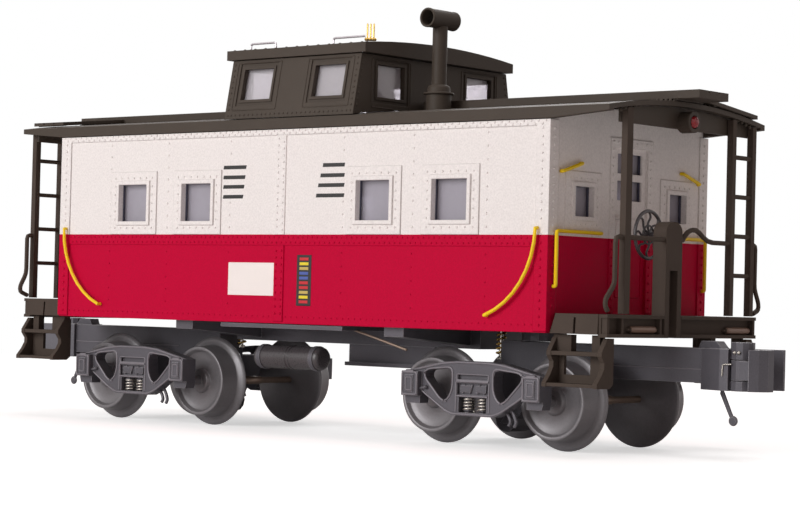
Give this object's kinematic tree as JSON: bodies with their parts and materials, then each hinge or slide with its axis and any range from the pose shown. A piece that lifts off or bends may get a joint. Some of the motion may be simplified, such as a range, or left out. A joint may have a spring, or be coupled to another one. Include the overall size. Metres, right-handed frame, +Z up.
{
  "type": "model railway caboose",
  "caption": "Toy railway caboose with a rooftop cupola, railed end platforms with steps and ladders, sprung-look swivelling trucks and knuckle couplers.",
  "frame": {"origin": "on the floor under the wheel flanges, below the middle of the car", "axes": "+X along the car towards end a, +Y across it, +Z up"},
  "size_m": [0.2444, 0.0678, 0.1056],
  "materials": {
    "body": "satin white above, crimson below, moulded rivets",
    "roof": "flat dark brown-grey",
    "trim": "flat dark brown-grey",
    "cast": "satin dark grey die casting",
    "wheel": "blackened turned metal",
    "grab": "yellow gloss wire",
    "glass": "clear",
    "lens": "clear red",
    "steel": "bright wire",
    "brass": "bright"
  },
  "bodies": {
    "car": {"body_shell": "body", "glass_side_right": "glass", "glass_side_left": "glass", "glass_end_a": "glass", "glass_end_b": "glass", "roof": "roof", "running_board_a": "roof", "running_board_b": "roof", "cupola_walls": "roof", "cupola_glass": "glass", "cupola_roof": "roof", "smoke_jack": "roof", "antenna": "brass", "cupola_rail_right": "steel", "cupola_rail_left": "steel", "underframe": "cast", "air_reservoir": "cast", "platform_a": "trim", "platform_b": "trim", "steps_right_a": "trim", "steps_right_b": "trim", "steps_left_a": "trim", "steps_left_b": "trim", "corner_post_a": "trim", "corner_post_b": "trim", "ladder_a": "trim", "ladder_b": "trim", "end_arch_a": "roof", "end_arch_b": "roof", "marker_lens_a": "lens", "marker_lens_b": "lens", "brake_stand_a": "trim", "brake_stand_b": "trim", "brake_wheel_a": "cast", "brake_wheel_b": "cast", "side_grab_right_a": "grab", "side_grab_right_b": "grab", "side_grab_left_a": "grab", "side_grab_left_b": "grab", "end_grab_right_a": "grab", "end_grab_right_b": "grab", "end_grab_left_a": "grab", "end_grab_left_b": "grab", "high_grab_right_a": "grab", "high_grab_right_b": "grab", "high_grab_left_a": "grab", "high_grab_left_b": "grab"},
    "truck_a": {"side_frame_right_a": "cast", "side_frame_left_a": "cast", "coupler_a": "cast"},
    "wheels_inner_a": {"wheelset_inner_a": "wheel"},
    "wheels_outer_a": {"wheelset_outer_a": "wheel"},
    "jaw_a": {"knuckle_a": "cast"},
    "truck_b": {"side_frame_right_b": "cast", "side_frame_left_b": "cast", "coupler_b": "cast"},
    "wheels_inner_b": {"wheelset_inner_b": "wheel"},
    "wheels_outer_b": {"wheelset_outer_b": "wheel"},
    "jaw_b": {"knuckle_b": "cast"}
  },
  "joints": [
    {"name": "truck_swivel_a", "type": "hinge", "parent": "car", "child": "truck_a", "pos_m": [0.0574, 0, 0.0248], "axis": [0, 0, 1], "range_deg": [-8, 8]},
    {"name": "truck_swivel_b", "type": "hinge", "parent": "car", "child": "truck_b", "pos_m": [-0.0574, 0, 0.0248], "axis": [0, 0, 1], "range_deg": [-8, 8]},
    {"name": "axle_inner_a", "type": "hinge", "parent": "truck_a", "child": "wheels_inner_a", "pos_m": [0.0395, 0, 0.0116], "axis": [0, 1, 0], "continuous": true},
    {"name": "axle_outer_a", "type": "hinge", "parent": "truck_a", "child": "wheels_outer_a", "pos_m": [0.0753, 0, 0.0116], "axis": [0, 1, 0], "continuous": true},
    {"name": "axle_inner_b", "type": "hinge", "parent": "truck_b", "child": "wheels_inner_b", "pos_m": [-0.0395, 0, 0.0116], "axis": [0, 1, 0], "continuous": true},
    {"name": "axle_outer_b", "type": "hinge", "parent": "truck_b", "child": "wheels_outer_b", "pos_m": [-0.0753, 0, 0.0116], "axis": [0, 1, 0], "continuous": true},
    {"name": "knuckle_open_a", "type": "hinge", "parent": "truck_a", "child": "jaw_a", "pos_m": [0.116, -0.0046, 0.0202], "axis": [0, 0, -1], "range_deg": [0, 35]},
    {"name": "knuckle_open_b", "type": "hinge", "parent": "truck_b", "child": "jaw_b", "pos_m": [-0.116, 0.0046, 0.0202], "axis": [0, 0, -1], "range_deg": [0, 35]}
  ]
}
